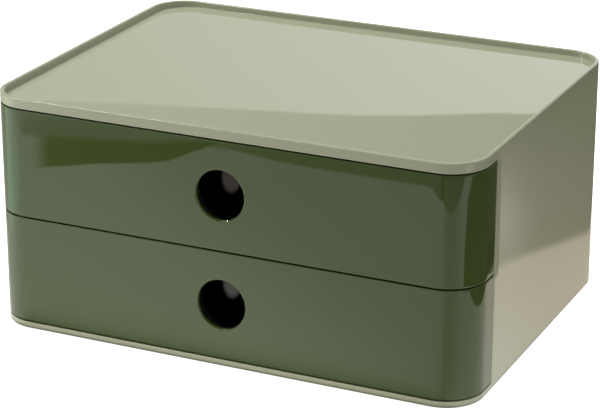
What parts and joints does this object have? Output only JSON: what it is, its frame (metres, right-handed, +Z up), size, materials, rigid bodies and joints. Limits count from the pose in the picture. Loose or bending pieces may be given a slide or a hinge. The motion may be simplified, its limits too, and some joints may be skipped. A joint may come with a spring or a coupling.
{
  "type": "file box with drawers",
  "caption": "Low desk file box with rounded corners, a tray top and wrap-around drawer fronts with round finger holes, the drawers sliding forwards out of a one-piece case.",
  "frame": {"origin": "on the desk, under the middle of the box", "axes": "+Z up, the drawer fronts face -Y, +X to the right of someone who faces the drawers"},
  "size_m": [0.26, 0.195, 0.125],
  "materials": {
    "case_plastic": "glossy light sage moulded plastic",
    "front_plastic": "high-gloss dark olive green moulded plastic",
    "inner_plastic": "satin dark grey moulded plastic",
    "foot_rubber": "matt black rubber",
    "screw_steel": "zinc-plated steel"
  },
  "bodies": {
    "case": {"case_shell": "case_plastic", "rear_cover": "case_plastic", "runner_panel_left": "inner_plastic", "runner_panel_right": "inner_plastic", "divider_shelf": "inner_plastic", "foot_front_left": "foot_rubber", "foot_front_right": "foot_rubber", "foot_rear_left": "foot_rubber", "foot_rear_right": "foot_rubber"},
    "lower_drawer": {"lower_drawer_front": "front_plastic", "lower_drawer_tub": "inner_plastic", "lower_drawer_screws": "screw_steel"},
    "upper_drawer": {"upper_drawer_front": "front_plastic", "upper_drawer_tub": "inner_plastic", "upper_drawer_screws": "screw_steel"}
  },
  "joints": [
    {"name": "lower_drawer_slide", "type": "slide", "parent": "case", "child": "lower_drawer", "axis": [0, -1, 0], "range_m": [0, 0.14]},
    {"name": "upper_drawer_slide", "type": "slide", "parent": "case", "child": "upper_drawer", "axis": [0, -1, 0], "range_m": [0, 0.14]}
  ]
}
